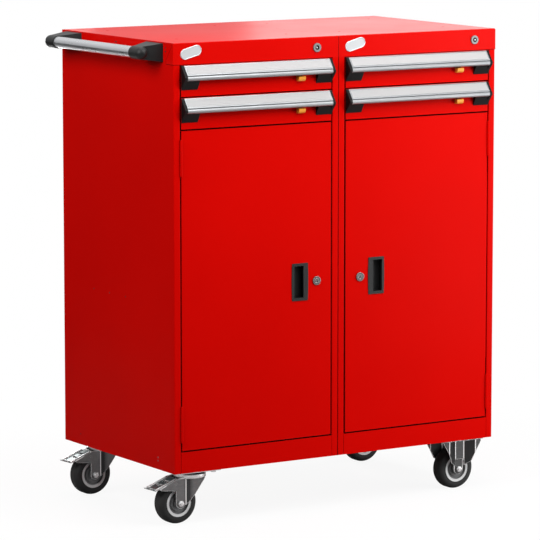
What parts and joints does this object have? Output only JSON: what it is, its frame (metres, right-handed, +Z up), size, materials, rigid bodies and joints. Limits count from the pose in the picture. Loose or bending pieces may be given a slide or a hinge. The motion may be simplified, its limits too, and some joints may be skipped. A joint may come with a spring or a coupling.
{
  "type": "mobile drawer cabinet",
  "caption": "Mobile sheet steel cabinet on casters, with handled drawers above lockable doors, a flat top and a push handle on one side.",
  "frame": {"origin": "on the floor under the middle of the whole object", "axes": "+Z up, -Y out of the front with the drawers and doors, -X towards the push handle"},
  "size_m": [0.9812, 0.554, 1.146],
  "materials": {
    "red_paint": "glossy red powder coat",
    "zinc_steel": "zinc plated",
    "bare_aluminium": "satin anodised",
    "black_plastic": "fine grain",
    "orange_plastic": "smooth",
    "lock_metal": "satin zinc casting",
    "lock_black": "black",
    "plate_white": "plain, unprinted",
    "fork_steel": "zinc grey",
    "tyre_rubber": "smooth tread",
    "hub_plastic": "moulded grey"
  },
  "bodies": {
    "cabinet": {"left_outer_side": "red_paint", "left_inner_side": "red_paint", "right_inner_side": "red_paint", "right_outer_side": "red_paint", "back_panels": "red_paint", "left_top": "red_paint", "right_top": "red_paint", "left_base": "red_paint", "right_base": "red_paint", "drawer_dividers": "red_paint", "shelves": "red_paint", "slide_channels": "zinc_steel", "hinge_pins": "red_paint", "name_plates": "plate_white", "rail_lock_cases": "lock_metal", "push_handle_tube": "bare_aluminium", "push_handle_brackets": "black_plastic", "swivel_plates": "fork_steel", "rigid_forks": "fork_steel", "caster_bolts": "zinc_steel"},
    "left_door_unit": {"left_door": "red_paint", "left_door_pull": "black_plastic", "left_door_lock_case": "lock_metal"},
    "left_door_key": {"left_door_plug": "lock_metal"},
    "left_rail_key": {"left_rail_plug": "lock_black"},
    "left_upper_drawer_unit": {"left_upper_drawer": "red_paint", "left_upper_handle": "bare_aluminium", "left_upper_caps": "black_plastic"},
    "left_upper_latch_unit": {"left_upper_latch": "orange_plastic"},
    "left_lower_drawer_unit": {"left_lower_drawer": "red_paint", "left_lower_handle": "bare_aluminium", "left_lower_caps": "black_plastic"},
    "left_lower_latch_unit": {"left_lower_latch": "orange_plastic"},
    "right_door_unit": {"right_door": "red_paint", "right_door_pull": "black_plastic", "right_door_lock_case": "lock_metal"},
    "right_door_key": {"right_door_plug": "lock_metal"},
    "right_rail_key": {"right_rail_plug": "lock_black"},
    "right_upper_drawer_unit": {"right_upper_drawer": "red_paint", "right_upper_handle": "bare_aluminium", "right_upper_caps": "black_plastic"},
    "right_upper_latch_unit": {"right_upper_latch": "orange_plastic"},
    "right_lower_drawer_unit": {"right_lower_drawer": "red_paint", "right_lower_handle": "bare_aluminium", "right_lower_caps": "black_plastic"},
    "right_lower_latch_unit": {"right_lower_latch": "orange_plastic"},
    "front_swivel_unit": {"front_swivel_fork": "fork_steel", "front_swivel_axle": "zinc_steel"},
    "front_brake_unit": {"front_brake_pedal": "fork_steel"},
    "front_left_wheel": {"front_left_tyre": "tyre_rubber", "front_left_hub": "hub_plastic"},
    "front_right_wheel": {"front_right_tyre": "tyre_rubber", "front_right_hub": "hub_plastic"},
    "rear_swivel_unit": {"rear_swivel_fork": "fork_steel", "rear_swivel_axle": "zinc_steel"},
    "rear_brake_unit": {"rear_brake_pedal": "fork_steel"},
    "rear_left_wheel": {"rear_left_tyre": "tyre_rubber", "rear_left_hub": "hub_plastic"},
    "rear_right_wheel": {"rear_right_tyre": "tyre_rubber", "rear_right_hub": "hub_plastic"}
  },
  "joints": [
    {"name": "left_door_hinge", "type": "hinge", "parent": "cabinet", "child": "left_door_unit", "pos_m": [-0.40605, -0.25825, 0.5618], "axis": [0, 0, -1], "range_deg": [0, 170]},
    {"name": "left_door_lock_turn", "type": "hinge", "parent": "left_door_unit", "child": "left_door_key", "pos_m": [-0.03005, -0.25645, 0.5618], "axis": [0, 1, 0], "range_deg": [0, 90]},
    {"name": "left_rail_lock_turn", "type": "hinge", "parent": "cabinet", "child": "left_rail_key", "pos_m": [-0.03005, -0.25645, 1.1206], "axis": [0, -1, 0], "range_deg": [0, 90]},
    {"name": "left_upper_drawer_slide", "type": "slide", "parent": "cabinet", "child": "left_upper_drawer_unit", "axis": [0, -1, 0], "range_m": [0, 0.36]},
    {"name": "left_upper_latch_lift", "type": "slide", "parent": "left_upper_drawer_unit", "child": "left_upper_latch_unit", "axis": [0, 0, 1], "range_m": [0, 0.005], "stiffness_N_per_m": 250, "springref_m": -0.003},
    {"name": "left_lower_drawer_slide", "type": "slide", "parent": "cabinet", "child": "left_lower_drawer_unit", "axis": [0, -1, 0], "range_m": [0, 0.36]},
    {"name": "left_lower_latch_lift", "type": "slide", "parent": "left_lower_drawer_unit", "child": "left_lower_latch_unit", "axis": [0, 0, 1], "range_m": [0, 0.005], "stiffness_N_per_m": 250, "springref_m": -0.003},
    {"name": "right_door_hinge", "type": "hinge", "parent": "cabinet", "child": "right_door_unit", "pos_m": [0.47035, -0.25825, 0.5618], "axis": [0, 0, 1], "range_deg": [0, 170]},
    {"name": "right_door_lock_turn", "type": "hinge", "parent": "right_door_unit", "child": "right_door_key", "pos_m": [0.09435, -0.25645, 0.5618], "axis": [0, -1, 0], "range_deg": [0, 90]},
    {"name": "right_rail_lock_turn", "type": "hinge", "parent": "cabinet", "child": "right_rail_key", "pos_m": [0.42715, -0.25645, 1.1206], "axis": [0, -1, 0], "range_deg": [0, 90]},
    {"name": "right_upper_drawer_slide", "type": "slide", "parent": "cabinet", "child": "right_upper_drawer_unit", "axis": [0, -1, 0], "range_m": [0, 0.36]},
    {"name": "right_upper_latch_lift", "type": "slide", "parent": "right_upper_drawer_unit", "child": "right_upper_latch_unit", "axis": [0, 0, 1], "range_m": [0, 0.005], "stiffness_N_per_m": 250, "springref_m": -0.003},
    {"name": "right_lower_drawer_slide", "type": "slide", "parent": "cabinet", "child": "right_lower_drawer_unit", "axis": [0, -1, 0], "range_m": [0, 0.36]},
    {"name": "right_lower_latch_lift", "type": "slide", "parent": "right_lower_drawer_unit", "child": "right_lower_latch_unit", "axis": [0, 0, 1], "range_m": [0, 0.005], "stiffness_N_per_m": 250, "springref_m": -0.003},
    {"name": "front_swivel_turn", "type": "hinge", "parent": "cabinet", "child": "front_swivel_unit", "pos_m": [-0.34935, -0.19575, 0.1], "axis": [0, 0, 1], "continuous": true},
    {"name": "front_brake_press", "type": "hinge", "parent": "front_swivel_unit", "child": "front_brake_unit", "pos_m": [-0.40135, -0.19575, 0.0986], "axis": [0, -1, 0], "range_deg": [0, 12]},
    {"name": "front_left_wheel_spin", "type": "hinge", "parent": "front_swivel_unit", "child": "front_left_wheel", "pos_m": [-0.38935, -0.19575, 0.0508], "axis": [0, 1, 0], "continuous": true},
    {"name": "front_right_wheel_spin", "type": "hinge", "parent": "cabinet", "child": "front_right_wheel", "pos_m": [0.41365, -0.19575, 0.0508], "axis": [0, 1, 0], "continuous": true},
    {"name": "rear_swivel_turn", "type": "hinge", "parent": "cabinet", "child": "rear_swivel_unit", "pos_m": [-0.34935, 0.21625, 0.1], "axis": [0, 0, 1], "continuous": true},
    {"name": "rear_brake_press", "type": "hinge", "parent": "rear_swivel_unit", "child": "rear_brake_unit", "pos_m": [-0.40135, 0.21625, 0.0986], "axis": [0, -1, 0], "range_deg": [0, 12]},
    {"name": "rear_left_wheel_spin", "type": "hinge", "parent": "rear_swivel_unit", "child": "rear_left_wheel", "pos_m": [-0.38935, 0.21625, 0.0508], "axis": [0, 1, 0], "continuous": true},
    {"name": "rear_right_wheel_spin", "type": "hinge", "parent": "cabinet", "child": "rear_right_wheel", "pos_m": [0.41365, 0.21625, 0.0508], "axis": [0, 1, 0], "continuous": true}
  ]
}
